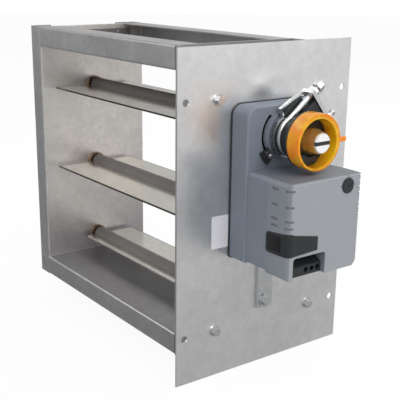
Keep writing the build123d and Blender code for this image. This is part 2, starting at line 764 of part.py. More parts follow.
# ---------------------------------------------------------------- actuator: housing
hub_hole = sleeve_radius + 0.5
box_y = (case_y[0] + box_inset, case_y[1] - box_inset)
box_z = (case_z[0] + box_inset, box_top)


def case_block(x, grow, mode=Mode.ADD):
    """Block with the outline of the rear housing, larger by grow on every side."""
    y = (case_y[0] - grow, case_y[1] + grow)
    z = (case_z[0] - grow, case_z[1] + grow)
    big = case_big_corner + grow
    with BuildSketch(Plane.YZ.offset(x[0])) as section:
        with Locations(((y[0] + y[1]) / 2, (z[0] + z[1]) / 2)):
            RectangleRounded(y[1] - y[0], z[1] - z[0], case_corner + grow)
        with Locations((y[0] + big / 2, z[1] - big / 2)):
            Rectangle(big, big, mode=Mode.SUBTRACT)
        with Locations((y[0] + big, z[1] - big)):
            Circle(big)
    extrude(section.sketch, amount=x[1] - x[0], mode=mode)


with BuildPart() as backing_pad:
    case_block((plate_x1, pad_x1), pad_margin)
    bar(plate_x1, pad_x1, 13.0, drive_axis, mode=Mode.SUBTRACT)
save(backing_pad, "backing_pad")

foot_half_angle = 8.0
slot_radii = (slot_radius - slot_width / 2, slot_radius + slot_width / 2)
with BuildPart() as rear_housing:
    case_block((pad_x1, rear_x1), 0)
    fillet(rear_housing.faces().sort_by(Axis.X)[-1].edges(), case_edge)
    bar(rear_x1 - 1, rear_x1 + boss_height, slot_radii[0] - 0.8, drive_axis)
    case_block((pad_x1 + case_wall, rear_x1 - case_wall), -case_wall, mode=Mode.SUBTRACT)
    window_z = (box_z[0] + case_wall, box_z[1] - case_wall)
    window_y = (box_y[0] + case_wall, box_y[1] - case_wall)
    block((rear_x1 - case_wall - 1, rear_x1), window_y, window_z, 2.0, mode=Mode.SUBTRACT)
    bar(rear_x1 - case_wall - 1, rear_x1 + boss_height, hub_hole, drive_axis, mode=Mode.SUBTRACT)
    bar(pad_x1, pad_x1 + case_wall + 1, 12.5, drive_axis, mode=Mode.SUBTRACT)
    ring_sector(rear_x1 - case_wall - 1, rear_x1, drive_axis, slot_radii, (slot_start, slot_end),
                mode=Mode.SUBTRACT)
    upright((pin_x, strap_y), strap_pin_radius + seat_fit, case_z[0] - 1, case_z[0] + case_wall + 1,
            mode=Mode.SUBTRACT)
save(rear_housing, "rear_housing")

with BuildPart() as mid_housing:
    block((rear_x1, mid_x1), box_y, box_z, box_corner)
    inside_y = (box_y[0] + case_wall, box_y[1] - case_wall)
    inside_z = (box_z[0] + case_wall, box_z[1] - case_wall)
    block((rear_x1, mid_x1), inside_y, inside_z, box_corner - case_wall, mode=Mode.SUBTRACT)
save(mid_housing, "mid_housing")


def round_corner(side, z, radius):
    """Cut the upright front corner of the cover on one side to a radius about its rounding centre."""
    edge_y = case_y[0] if side < 0 else case_y[1]
    centre_y = edge_y - side * cover_corner
    size = cover_corner + 2
    with BuildSketch(Plane.XY.offset(z[0])) as cutter:
        with Locations((cover_x1 - cover_corner + size / 2, centre_y + side * size / 2)):
            Rectangle(size, size)
        with Locations((cover_x1 - cover_corner, centre_y)):
            Circle(radius, mode=Mode.SUBTRACT)
    extrude(cutter.sketch, amount=z[1] - z[0], mode=Mode.SUBTRACT)


# service cap wrapped round the left edge of the front cover
cap_gap = 0.15
cap_proud = 0.6
cap_corner = 3.0
cap_top_corner = drive_z - 69.7
cap_low_corner = drive_z - 89.4
cap_end_y = drive_y - 8.8


def cap_outline_side(grow):
    """Side view of the service cap, on the left face of the cover."""
    with BuildSketch(Plane.XZ.offset(-case_y[0] + cap_proud)) as outline:
        with BuildLine():
            Polyline(
                (mid_x1 + 0.8 - grow, cap_top_corner - 2.8 + grow),
                (cover_x1 + cap_proud, cap_top_corner + grow),
                (cover_x1 + cap_proud, cap_low_corner - grow),
                (mid_x1 + 0.8 - grow, cap_low_corner - 0.8 - grow),
                close=True,
            )
        make_face()
        fillet(outline.vertices().sort_by(Axis.X)[:2], cap_corner + grow)
    return outline.sketch


def cap_outline_front(grow):
    """Front view of the service cap, on the front face of the cover."""
    with BuildSketch(Plane.YZ.offset(cover_x1 + cap_proud)) as outline:
        with BuildLine():
            Polyline(
                (case_y[0] - cap_proud, cap_top_corner + grow),
                (cap_end_y + grow, cap_top_corner - 6.5 + grow),
                (cap_end_y + grow, cap_low_corner + 1.6 - grow),
                (case_y[0] - cap_proud, cap_low_corner - grow),
                close=True,
            )
        make_face()
    return outline.sketch


cap_depth = 5.0
with BuildPart() as service_cap:
    extrude(cap_outline_side(0), amount=-cap_depth)
    extrude(cap_outline_front(0), amount=-cap_depth)
    round_corner(-1, (cap_low_corner - 1, cap_top_corner + 1), cover_corner + cap_proud)
save(service_cap, "service_cap")

recess_y = (case_y[0] + 6.2, drive_y + 1.4)
recess_z = (case_z[0] - 4, case_z[0] + recess_height)
recess_x0 = cover_x1 - recess_depth
knob_centre = (case_y[1] - knob_from_right, box_top - knob_from_top)
with BuildPart() as front_cover:
    block((mid_x1, cover_x1), case_y, (case_z[0], box_top), box_corner)
    with BuildSketch(Plane.YZ.offset(mid_x1)) as low_cut:
        with BuildLine():
            Polyline(
                (case_y[1] - cover_low_bevel, case_z[0]),
                (case_y[1], case_z[0] + cover_low_bevel),
                (case_y[1] + 1, case_z[0] + cover_low_bevel),
                (case_y[1] + 1, case_z[0] - 1),
                (case_y[1] - cover_low_bevel, case_z[0] - 1),
                close=True,
            )
        make_face()
    extrude(low_cut.sketch, amount=cover_depth, mode=Mode.SUBTRACT)
    with BuildSketch(Plane.XZ.offset(-case_y[0] + 1)) as top_cut:
        with BuildLine():
            Polyline(
                (cover_x1 - cover_bevel, box_top),
                (cover_x1, box_top - cover_bevel),
                (cover_x1 + 1, box_top - cover_bevel),
                (cover_x1 + 1, box_top + 1),
                (cover_x1 - cover_bevel, box_top + 1),
                close=True,
            )
        make_face()
    extrude(top_cut.sketch, amount=-case_width - 2, mode=Mode.SUBTRACT)
    inner_z = (inside_z[0] + 2.2, inside_z[1])
    block((mid_x1, cover_x1 - case_wall), inside_y, inner_z, box_corner - case_wall, mode=Mode.SUBTRACT)
    # pockets for the service cap, closed behind it
    cap_middle = (cap_top_corner + cap_low_corner) / 2
    cap_height = cap_top_corner - cap_low_corner + 8
    block((mid_x1, cover_x1 - 1.6), (case_y[0] + 0.5, case_y[0] + 10),
          (cap_middle - cap_height / 2, cap_middle + cap_height / 2))
    block((cover_x1 - 8, cover_x1 - 1.6), (case_y[0] + 2, cap_end_y + 2.5),
          (cap_middle - cap_height / 2, cap_middle + cap_height / 2))
    extrude(cap_outline_side(cap_gap), amount=-cap_depth - cap_gap, mode=Mode.SUBTRACT)
    extrude(cap_outline_front(cap_gap), amount=-cap_depth - cap_gap, mode=Mode.SUBTRACT)
    # terminal recess, open at the bottom
    recess_wall = 1.6
    block(
        (recess_x0 - recess_wall, cover_x1 - 1.0),
        (recess_y[0] - recess_wall, recess_y[1] + recess_wall),
        (case_z[0] + 0.5, recess_z[1] + recess_wall),
    )
    block((recess_x0, cover_x1), recess_y, recess_z, 3.0, mode=Mode.SUBTRACT)
    # selector hole
    bar(cover_x1 - 6.0, cover_x1 - 1.0, knob_radius + 2.5, knob_centre)
    bar(cover_x1 - 4.0, cover_x1, knob_radius + 0.3, knob_centre, mode=Mode.SUBTRACT)
    bar(cover_x1 - 8.0, cover_x1, 2.5 + running_fit, knob_centre, mode=Mode.SUBTRACT)
    # upright corners, vent recesses and corner notches
    for side in (-1, 1):
        round_corner(side, (case_z[0] - 1, box_top + 1), cover_corner)
    for drop in vent_drops:
        level = (box_top - drop - vent_half_height, box_top - drop + vent_half_height)
        round_corner(-1, level, cover_corner - 0.9)
        for side_y in (case_y[0], case_y[1] - case_wall):
            block((mid_x1 + 6.1, mid_x1 + 13.9), (side_y, side_y + case_wall), level, mode=Mode.SUBTRACT)
    for drop in notch_drops:
        level = (box_top - drop - vent_half_height, box_top - drop + vent_half_height)
        round_corner(1, level, cover_corner - 0.9)
save(front_cover, "front_cover")

terminal_front = recess_x0 + 11.5
terminal_z = (case_z[0] + 0.6, case_z[0] + 13.0)
wire_entries = [(drive_y - 16.0 + 6.7 * n, case_z[0] + 5.2) for n in range(3)]
with BuildPart() as terminal_block:
    with BuildSketch(Plane.XZ.offset(-recess_y[0] - 0.6)) as profile:
        with BuildLine():
            Polyline(
                (recess_x0, terminal_z[0]),
                (terminal_front, terminal_z[0]),
                (terminal_front, terminal_z[0] + 8.4),
                (recess_x0 + 4.0, terminal_z[1]),
                (recess_x0, terminal_z[1]),
                close=True,
            )
        make_face()
    extrude(profile.sketch, amount=-(recess_y[1] - recess_y[0] - 1.2))
    bar(terminal_front - 7.0, terminal_front, 2.3, *wire_entries, mode=Mode.SUBTRACT)
save(terminal_block, "terminal_block")

with BuildPart() as selector_knob:
    bar(cover_x1 - 4.0, cover_x1 + 0.9, knob_radius, knob_centre)
    bar(cover_x1 - 7.5, cover_x1 - 4.0, 2.5, knob_centre)
    pointer_y = (knob_centre[0] - 0.8, knob_centre[0] + knob_radius)
    block((cover_x1 - 0.1, cover_x1 + 0.9), pointer_y, (knob_centre[1] - 0.8, knob_centre[1] + 0.8),
          mode=Mode.SUBTRACT)
save(selector_knob, "selector_knob")

stop_half_angle = 12.0
stop_height = 3.0
with BuildPart() as end_stop:
    foot = (stop_angle - foot_half_angle, stop_angle + foot_half_angle)
    body = (stop_angle - stop_half_angle, stop_angle + stop_half_angle)
    foot_radii = (slot_radii[0] + 0.15, slot_radii[1] - 0.15)
    ring_sector(rear_x1 - case_wall - 0.8, rear_x1 + 1.0, drive_axis, foot_radii, foot)
    ring_sector(rear_x1 + 0.15, rear_x1 + stop_height, drive_axis,
                (slot_radii[0] - 0.3, slot_radius + 7.0), body)
    screw_place = polar(drive_axis, slot_radius + 0.4, stop_angle)
    bar(rear_x1 - case_wall - 0.8, rear_x1 + stop_height, 1.3 + seat_fit, screw_place, mode=Mode.SUBTRACT)
save(end_stop, "end_stop")

with BuildPart() as stop_screw:
    bar(rear_x1 - case_wall - 2.0, rear_x1 + stop_height, 1.3, screw_place)
    bar(rear_x1 + stop_height, rear_x1 + stop_height + 1.5, 3.4, screw_place)
    with BuildSketch(Plane.YZ.offset(rear_x1 + stop_height + 1.5)) as socket:
        with Locations(screw_place):
            RegularPolygon(1.3, 6, major_radius=False)
    extrude(socket.sketch, amount=-1.0, mode=Mode.SUBTRACT)
save(stop_screw, "stop_screw")

# ---------------------------------------------------------------- anti-rotation strap
strap_top = case_z[0] - strap_gap
strap_foot = case_z[0] - strap_length
pin_place = (pin_x, strap_y)
with BuildPart() as anti_rotation_strap:
    block((plate_x1, plate_x1 + strap_sheet), (strap_y - strap_half_width, strap_y + strap_half_width),
          (strap_foot, strap_top))
    block((plate_x1, plate_x1 + tongue_reach), (strap_y - strap_half_width, strap_y + strap_half_width),
          (strap_top - strap_sheet, strap_top))
    bar(plate_x1, plate_x1 + strap_sheet, strap_screw_radius + seat_fit, strap_screw, mode=Mode.SUBTRACT)
    upright(pin_place, strap_pin_radius + seat_fit, strap_top - strap_sheet, strap_top, mode=Mode.SUBTRACT)
save(anti_rotation_strap, "anti_rotation_strap")

strap_head = 3.0
strap_across_flats = 8.0
strap_washer = 6.5
with BuildPart() as strap_screws:
    hex_screw(plate_x1 + strap_sheet, strap_screw, strap_screw_radius, plate_x0 - 6.0,
              strap_across_flats, strap_head, strap_washer)
save(strap_screws, "strap_screw")

with BuildPart() as strap_pin:
    upright(pin_place, strap_pin_radius, strap_top - strap_sheet, case_z[0] + case_wall + 2.5)
    upright(pin_place, strap_pin_radius + 1.4, strap_top - strap_sheet - 1.4, strap_top - strap_sheet)
save(strap_pin, "strap_pin")
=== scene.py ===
"""Looks of the volume control damper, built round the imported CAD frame.

The scene is in metres. Places on the part, and the small pieces that only the looks have, are given
in millimetres and brought to metres by MM.
"""

import json
import math

import bmesh
import bpy
from mathutils import Matrix, Vector


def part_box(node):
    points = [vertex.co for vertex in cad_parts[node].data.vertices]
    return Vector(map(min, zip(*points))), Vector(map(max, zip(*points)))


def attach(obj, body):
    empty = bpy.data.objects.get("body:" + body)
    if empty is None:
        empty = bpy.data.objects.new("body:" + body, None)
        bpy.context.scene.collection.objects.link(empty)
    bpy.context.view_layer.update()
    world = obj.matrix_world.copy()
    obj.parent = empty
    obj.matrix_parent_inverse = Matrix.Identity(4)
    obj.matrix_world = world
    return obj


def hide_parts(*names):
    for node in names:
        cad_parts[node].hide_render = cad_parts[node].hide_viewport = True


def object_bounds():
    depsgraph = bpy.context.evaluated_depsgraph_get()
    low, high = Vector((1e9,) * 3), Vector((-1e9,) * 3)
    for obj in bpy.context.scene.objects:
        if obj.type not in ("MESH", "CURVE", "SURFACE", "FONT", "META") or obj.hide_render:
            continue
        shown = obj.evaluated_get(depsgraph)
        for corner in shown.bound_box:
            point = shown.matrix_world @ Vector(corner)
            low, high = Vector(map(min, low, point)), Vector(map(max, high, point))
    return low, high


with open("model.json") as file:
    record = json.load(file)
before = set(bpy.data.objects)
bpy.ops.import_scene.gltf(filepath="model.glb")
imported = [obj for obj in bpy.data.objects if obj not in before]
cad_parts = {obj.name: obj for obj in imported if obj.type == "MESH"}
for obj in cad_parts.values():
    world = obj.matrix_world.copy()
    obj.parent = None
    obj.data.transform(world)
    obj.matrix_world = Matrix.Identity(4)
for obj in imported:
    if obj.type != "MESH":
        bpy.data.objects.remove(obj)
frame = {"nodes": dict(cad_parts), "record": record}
nodes = frame["nodes"]
cad_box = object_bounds()
scene = bpy.context.scene
MM = 0.001


def millimetres(node):
    """Lowest and highest corner of a CAD node at rest, in millimetres."""
    low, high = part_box(node)
    return [c / MM for c in low], [c / MM for c in high]


# ------------------------------------------------------------------ places read off the frame
duct_half_width = -millimetres("far_side_channel")[1][0]
duct_bottom = millimetres("bottom_channel")[1][2]
duct_top = millimetres("top_channel")[0][2]
flange_top = millimetres("top_channel")[1][2]
flange_bend = 1.2           # reach of the bend between a web and its flange
duct_half_depth = millimetres("top_channel")[1][1] - flange_bend
blade_low, blade_high = millimetres("blade_sheet_1")
plate_face = millimetres("drive_plate")[1][0]
pad_front = millimetres("backing_pad")[0][1]
rear_face = millimetres("rear_housing")[1][0]
cover_low, cover_high = millimetres("front_cover")
cap_low, cap_high = millimetres("service_cap")
knob_low, knob_high = millimetres("selector_knob")
bolt_low, bolt_high = millimetres("clamp_ubolt")
shaft_low, shaft_high = millimetres("drive_shaft")
drive_y = (shaft_low[1] + shaft_high[1]) / 2
drive_z = (shaft_low[2] + shaft_high[2]) / 2

# ------------------------------------------------------------------ camera
CAMERA_PLACE = (0.68705, -0.45643, 0.20089)
CAMERA_AZIMUTH = 54.44      # degrees from the front towards the drive side
CAMERA_ELEVATION = 16.48
CAMERA_ROLL = 0.37
CAMERA_SENSOR = 36          # width in mm
CAMERA_LENS = 73.67         # mm
CAMERA_SHIFT = (0.0419, 0.0245)


def look_camera():
    """Camera at the product view: right front, slightly above."""
    azimuth, elevation, roll = map(math.radians, (CAMERA_AZIMUTH, CAMERA_ELEVATION, CAMERA_ROLL))
    back = Vector((
        math.sin(azimuth) * math.cos(elevation),
        -math.cos(azimuth) * math.cos(elevation),
        math.sin(elevation),
    ))
    level = (-back).cross(Vector((0, 0, 1))).normalized()
    upright = level.cross(-back).normalized()
    right = math.cos(roll) * level + math.sin(roll) * upright
    up = -math.sin(roll) * level + math.cos(roll) * upright
    cam = bpy.data.objects.new("camera", bpy.data.cameras.new("camera"))
    scene.collection.objects.link(cam)
    turn = Matrix((right, up, back)).transposed()
    cam.matrix_world = Matrix.Translation(CAMERA_PLACE) @ turn.to_4x4()
    cam.data.sensor_width = CAMERA_SENSOR
    cam.data.lens = CAMERA_LENS
    cam.data.shift_x, cam.data.shift_y = CAMERA_SHIFT
    cam.data.clip_start = 0.01
    scene.camera = cam


look_camera()


# ------------------------------------------------------------------ node trees
class NodeTree:
    """Helper that fills the emptied node tree of a world or a material."""

    def __init__(self, owner):
        owner.use_nodes = True
        self.tree = owner.node_tree
        self.tree.nodes.clear()

    def node(self, kind, **inputs):
        """A node with some of its inputs set."""
        made = self.tree.nodes.new(kind)
        for key, value in inputs.items():
            made.inputs[key].default_value = value
        return made

    def link(self, a, b):
        self.tree.links.new(a, b)

    def feed(self, value, socket):
        """Links another node's output to a socket, or sets the socket to a number or a colour."""
        if hasattr(value, "is_linked"):
            self.link(value, socket)
        elif isinstance(value, tuple):
            socket.default_value = (*value, 1)
        else:
            socket.default_value = value

    def part(self, vector, name):
        """One coordinate of a vector."""
        made = self.node("ShaderNodeSeparateXYZ")
        self.link(vector, made.inputs[0])
        return made.outputs[name]

    def dot(self, vector, direction):
        """How far a vector points along a direction."""
        made = self.node("ShaderNodeVectorMath")
        made.operation = "DOT_PRODUCT"
        made.inputs[1].default_value = direction
        self.link(vector, made.inputs[0])
        return made.outputs["Value"]

    def maths(self, kind, *values):
        """One step of arithmetic on numbers or outputs."""
        made = self.node("ShaderNodeMath")
        made.operation = kind
        for value, socket in zip(values, made.inputs):
            self.feed(value, socket)
        return made.outputs[0]

    def flip(self, mask):
        return self.maths("SUBTRACT", 1.0, mask)

    def remap(self, value, low, high, start=0.0, end=1.0, curve="LINEAR"):
        """Goes from low to high while the value goes from start to end."""
        made = self.node("ShaderNodeMapRange")
        made.interpolation_type = curve
        for key, number in (("From Min", start), ("From Max", end), ("To Min", low), ("To Max", high)):
            made.inputs[key].default_value = number
        self.link(value, made.inputs["Value"])
        return made.outputs[0]

    def mix(self, factor, a, b):
        """A number between a and b."""
        made = self.node("ShaderNodeMix")
        made.data_type = "FLOAT"
        for value, socket in ((factor, made.inputs[0]), (a, made.inputs[2]), (b, made.inputs[3])):
            self.feed(value, socket)
        return made.outputs[0]

    def blend(self, factor, a, b, kind="MIX"):
        """A colour between a and b, or a with b worked into it."""
        made = self.node("ShaderNodeMix")
        made.data_type = "RGBA"
        made.blend_type = kind
        for value, socket in ((factor, made.inputs["Factor"]), (a, made.inputs[6]), (b, made.inputs[7])):
            self.feed(value, socket)
        return made.outputs[2]

    def ramp(self, value, stops):
        """A colour ramp through (position, colour) stops, in rising order."""
        made = self.node("ShaderNodeValToRGB")
        elements = made.color_ramp.elements
        elements[0].position, elements[-1].position = stops[0][0], stops[-1][0]
        for position, _ in stops[1:-1]:
            elements.new(position)
        for element, (_, colour) in zip(elements, stops):
            element.color = (*colour, 1)
        self.link(value, made.inputs["Fac"])
        return made.outputs["Color"]

    def choose(self, factor, a, b):
        """The shader of node a where the factor is 0, and that of node b where it is 1."""
        made = self.node("ShaderNodeMixShader")
        self.link(factor, made.inputs["Fac"])
        self.link(a.outputs[0], made.inputs[1])
        self.link(b.outputs[0], made.inputs[2])
        return made


# ------------------------------------------------------------------ light and surroundings
WHITE = (1.0, 1.0, 1.0)
ROOM_PALE_WAY = (0.62, 0.56, 0.55)      # towards the palest end of the room
ROOM_STOPS = ((0.0, (0.20, 0.205, 0.215)), (0.45, (0.60, 0.60, 0.60)), (1.0, WHITE))
ROOM_DARK_WAY = (0.81, 0.58, 0.0)       # side on which the room is darker below the horizon
ROOM_DARK = 0.58
ROOM_BRIGHT = 1.06
ROOM_STRENGTH = 0.85
FLOOR_GREY = (0.82, 0.82, 0.82)
FLOOR_GLOW = 0.94                       # share of white that the camera sees on the floor
FLOOR_RADIUS = 6.0
FLOOR_GAP = 0.0004                      # between the part and the floor
LAMPS = (                               # name, place, target, size, power, colour
    ("key", (1.1, -0.3, 1.3), (0.05, 0, 0), 1.5, 16.0, (1, 0.99, 0.97)),
    ("fill", (-0.9, -1.3, 0.7), (0, 0, 0), 1.1, 7.0, (0.97, 0.98, 1)),
    ("back", (-0.2, 1.4, 1.1), (0, 0, 0), 1.0, 9.0, WHITE),
)


def surround():
    """A soft gradient that lights the object and shows in its metal, white for the camera.

    Camera and transmission rays see plain white. All other rays see the gradient, which is darker
    below the horizon on the drive side.
    """
    world = bpy.data.worlds.new("studio")
    scene.world = world
    t = NodeTree(world)
    way = t.node("ShaderNodeTexCoord").outputs["Generated"]
    gradient = t.ramp(t.maths("MULTIPLY_ADD", t.dot(way, ROOM_PALE_WAY), 0.5, 0.5), ROOM_STOPS)
    height, side = t.part(way, "Z"), t.dot(way, ROOM_DARK_WAY)
    low_dark = t.remap(height, ROOM_DARK, ROOM_BRIGHT, start=-0.30, end=-0.16, curve="SMOOTHSTEP")
    on_side = t.remap(side, 0.0, 1.0, start=0.1, end=0.5, curve="SMOOTHSTEP")
    room = t.blend(1.0, gradient, t.blend(on_side, WHITE, low_dark), "MULTIPLY")
    soft = t.node("ShaderNodeBackground", Strength=ROOM_STRENGTH)
    t.link(room, soft.inputs["Color"])
    white = t.node("ShaderNodeBackground", Color=(*WHITE, 1), Strength=1.0)
    rays = t.node("ShaderNodeLightPath")
    straight = t.maths("MAXIMUM", rays.outputs["Is Camera Ray"], rays.outputs["Is Transmission Ray"])
    out = t.node("ShaderNodeOutputWorld")
    t.link(t.choose(straight, soft, white).outputs[0], out.inputs["Surface"])


def lamp(name, place, target, size, power, colour):
    """A square area lamp aimed at a target, unseen by the camera."""
    data = bpy.data.lights.new(name, "AREA")
    data.shape = "SQUARE"
    data.size = size
    data.energy = power
    data.color = colour
    obj = bpy.data.objects.new(name, data)
    scene.collection.objects.link(obj)
    obj.location = place
    obj.rotation_euler = (Vector(target) - Vector(place)).to_track_quat("-Z", "Y").to_euler()
    obj.visible_camera = False


def floor():
    """Plain pale floor that shows white behind the object and keeps a faint shadow."""
    bm = bmesh.new()
    bmesh.ops.create_circle(bm, cap_ends=True, radius=FLOOR_RADIUS, segments=96)
    mesh = bpy.data.meshes.new("floor")
    bm.to_mesh(mesh)
    bm.free()
    obj = bpy.data.objects.new("floor", mesh)
    scene.collection.objects.link(obj)
    obj.location = (0, 0, cad_box[0][2] - FLOOR_GAP)
    mat = bpy.data.materials.new("floor_white")
    t = NodeTree(mat)
    diffuse = t.node("ShaderNodeBsdfDiffuse", Color=(*FLOOR_GREY, 1))
    glow = t.node("ShaderNodeEmission", Color=(*WHITE, 1), Strength=1.0)
    seen = t.maths("MULTIPLY", t.node("ShaderNodeLightPath").outputs["Is Camera Ray"], FLOOR_GLOW)
    out = t.node("ShaderNodeOutputMaterial")
    t.link(t.choose(seen, diffuse, glow).outputs[0], out.inputs["Surface"])
    mesh.materials.append(mat)
    obj.visible_glossy = False


scene.view_settings.view_transform = "Standard"
surround()
for name, *settings in LAMPS:
    lamp(name, *settings)
floor()


# ------------------------------------------------------------------ material building
class Shader(NodeTree):
    """A material with one principled shader, and textures placed on the part at rest."""

    def __init__(self, name):
        self.mat = bpy.data.materials.new(name)
        super().__init__(self.mat)
        self.bsdf = self.node("ShaderNodeBsdfPrincipled")
        self.coord = self.node("ShaderNodeTexCoord").outputs["Object"]
        out = self.node("ShaderNodeOutputMaterial")
        self.link(self.bsdf.outputs[0], out.inputs["Surface"])

    def set(self, **inputs):
        """Sets inputs of the principled shader, named with underscores for spaces."""
        for key, value in inputs.items():
            self.bsdf.inputs[key.replace("_", " ")].default_value = value

    def scaled(self, scale):
        mapping = self.node("ShaderNodeMapping", Scale=scale)
        self.link(self.coord, mapping.inputs["Vector"])
        return mapping.outputs[0]

    def noise(self, scale, detail, rough, stretch=(1, 1, 1)):
        """Soft noise, mostly between 0.3 and 0.7."""
        made = self.node("ShaderNodeTexNoise", Scale=scale, Detail=detail, Roughness=rough)
        self.link(self.scaled(stretch), made.inputs["Vector"])
        return made.outputs["Fac"]

    def spread(self, noise, low=0.0, high=1.0):
        """A noise stretched from its usual range to the range from low to high."""
        return self.remap(noise, low, high, 0.3, 0.7)

    def cells(self, scale):
        """A random number for each cell of a crystal pattern."""
        made = self.node("ShaderNodeTexVoronoi", Scale=scale)
        self.link(self.scaled((1, 1, 1)), made.inputs["Vector"])
        colour = self.node("ShaderNodeSeparateColor")
        self.link(made.outputs["Color"], colour.inputs[0])
        return colour.outputs[0]

    def axis(self, name):
        """One coordinate of the point on the object, in metres."""
        return self.part(self.coord, name)

    def along(self, axis, start, end, low=0.0, high=1.0):
        """Goes from low to high between two places along an axis, which are in millimetres."""
        return self.remap(self.axis(axis), low, high, start * MM, end * MM)

    def inside(self, axis, start, end, soft=0.4):
        """1 between two places along an axis and 0 outside them, with soft ends, in millimetres."""
        rise = self.along(axis, start - soft, start + soft)
        fall = self.along(axis, end - soft, end + soft, 1.0, 0.0)
        return self.maths("MULTIPLY", rise, fall)

    def add_bump(self, *layers):
        """Layers of (height, strength, distance in metres), one over the other."""
        normal = None
        for height, strength, distance in layers:
            bump = self.node("ShaderNodeBump", Strength=strength, Distance=distance)
            self.link(height, bump.inputs["Height"])
            if normal is not None:
                self.link(normal, bump.inputs["Normal"])
            normal = bump.outputs[0]
        self.link(normal, self.bsdf.inputs["Normal"])


def galvanised(name, dark, light, metallic, rough, ripple, tints=(), dull=None):
    """Rolled zinc-coated sheet: faint spangle, soft clouding, fine rolling lines and handling marks.

    Each of tints is a function that gives a mask and the colour that multiplies the sheet there.
    dull is a function that gives a mask, and the roughness and the metallic share there.
    """
    rolling_dark = (0.30, 0.30, 0.31)
    handled_pale = (0.86, 0.85, 0.83)
    s = Shader(name)
    cloud = s.noise(scale=14.0, detail=4.0, rough=0.6)
    lines = s.noise(scale=90.0, detail=3.0, rough=0.7)
    marks = s.noise(scale=38.0, detail=6.0, rough=0.75)
    base = s.blend(s.spread(cloud), dark, light)
    spangle = s.cells(scale=260.0)
    base = s.blend(s.remap(spangle, 0.0, 0.10), base, WHITE)
    base = s.blend(s.remap(lines, 0.0, 0.16, start=0.35, end=0.7), base, rolling_dark)
    base = s.blend(s.remap(marks, 0.0, 0.30, start=0.60, end=0.80), base, handled_pale)
    for tint in tints:
        mask, colour = tint(s)
        base = s.blend(mask, base, s.blend(1.0, base, colour, "MULTIPLY"))
    gloss = s.spread(marks, *rough)
    s.set(Metallic=metallic, Specular_IOR_Level=0.25)
    if dull is not None:
        mask, dull_rough, dull_metallic = dull(s)
        gloss = s.mix(mask, gloss, dull_rough)
        s.link(s.mix(mask, metallic, dull_metallic), s.bsdf.inputs["Metallic"])
    s.link(base, s.bsdf.inputs["Base Color"])
    s.link(gloss, s.bsdf.inputs["Roughness"])
    s.add_bump((lines, 0.05, 0.4 * MM), (cloud, ripple, 0.8 * MM))
    return s.mat


def metal(name, colour, rough=0.28, metallic=1.0):
    """Small hardware: plated or turned metal with fine pitting and slight stains."""
    s = Shader(name)
    pits = s.noise(scale=400.0, detail=2.0, rough=0.5)
    stains = s.noise(scale=80.0, detail=2.0, rough=0.5)
    stained = tuple(c * 0.88 for c in colour)
    base = s.blend(s.remap(stains, 0.0, 1.0, start=0.35, end=0.75), colour, stained)
    s.link(base, s.bsdf.inputs["Base Color"])
    s.set(Metallic=metallic)
    s.link(s.spread(pits, rough * 0.85, rough * 1.2), s.bsdf.inputs["Roughness"])
    s.add_bump((pits, 0.025, 0.1 * MM))
    return s.mat


def plastic(name, colour, rough=0.5, grain=0.25, scale=1400.0, vary=0.05, face=None, top=None):
    """Moulded plastic with a fine spark-eroded grain and slight unevenness.

    face is the X of a flat face with another colour, and that colour.
    top is the Z of an upper face in front of the rear housing that is painted darker: painted shade.
    """
    top_shade = (0.78, 0.77, 0.77)
    s = Shader(name)
    fine = s.noise(scale=scale, detail=3.0, rough=0.6)
    cloud = s.noise(scale=26.0, detail=3.0, rough=0.6)
    low = tuple(c * (1 - vary) for c in colour)
    high = tuple(min(1.0, c * (1 + vary)) for c in colour)
    body = s.blend(s.spread(cloud), low, high)
    if face is not None:
        place, paint = face
        body = s.blend(s.along("X", place - 0.9, place - 0.4), body, paint)
    if top is not None:
        # Painted shade on the upper faces in front of the rear housing.
        in_front = s.along("X", rear_face + 0.1, rear_face + 0.3)
        mask = s.maths("MULTIPLY", s.inside("Z", top - 0.2, top + 0.2, 0.1), in_front)
        body = s.blend(mask, body, s.blend(1.0, body, top_shade, "MULTIPLY"))
    s.link(body, s.bsdf.inputs["Base Color"])
    s.link(s.spread(fine, rough * 0.9, rough * 1.1), s.bsdf.inputs["Roughness"])
    s.add_bump((fine, grain, 0.2 * MM))
    return s.mat


def clear_orange(name, centre, bore):
    """Translucent orange moulding, yellower on the bore where the light comes through it."""
    s = Shader(name)
    cloud = s.noise(scale=95.0, detail=2.0, rough=0.5)
    off_y = s.maths("SUBTRACT", s.axis("Y"), centre[0] * MM)
    off_z = s.maths("SUBTRACT", s.axis("Z"), centre[1] * MM)
    squares = [s.maths("MULTIPLY", off, off) for off in (off_y, off_z)]
    radius = s.maths("SQRT", s.maths("ADD", *squares))
    deep_orange, orange = (1.0, 0.30, 0.004), (1.0, 0.50, 0.010)
    amber, yellow = (1.0, 0.46, 0.006), (1.0, 0.62, 0.015)
    outer = s.blend(s.remap(cloud, 0.0, 1.0, start=0.38, end=0.62), deep_orange, orange)
    inner = s.blend(s.remap(cloud, 0.0, 1.0, start=0.35, end=0.65), amber, yellow)
    on_bore = s.remap(radius, 1.0, 0.0, start=(bore + 0.6) * MM, end=(bore + 1.6) * MM)
    s.link(s.blend(on_bore, outer, inner), s.bsdf.inputs["Base Color"])
    s.set(
        Roughness=0.16,
        IOR=1.49,
        Transmission_Weight=0.3,
        Subsurface_Weight=0.5,
        Subsurface_Radius=(0.010, 0.004, 0.0004),
        Specular_IOR_Level=0.35,
        Coat_Weight=0.12,
    )
    s.add_bump((cloud, 0.05, 0.4 * MM))
    return s.mat


# ------------------------------------------------------------------ places with another tint, most of them painted light and shade
crest_half = 8.0            # half width of the crest, with the root of its bend
end_margin = 2.0            # painted shade at each end of a blade, which is also not glossy
front_margin = 1.1          # painted shade along the long edges of a blade
rear_margin = 1.0
foot_shade_fade = (-100.0, -30.0)  # the painted shade at the foot of the frame fades out between these heights


def in_duct(s):
    """Mask of what lies between the flanges."""
    return s.inside("Y", -duct_half_depth, duct_half_depth)


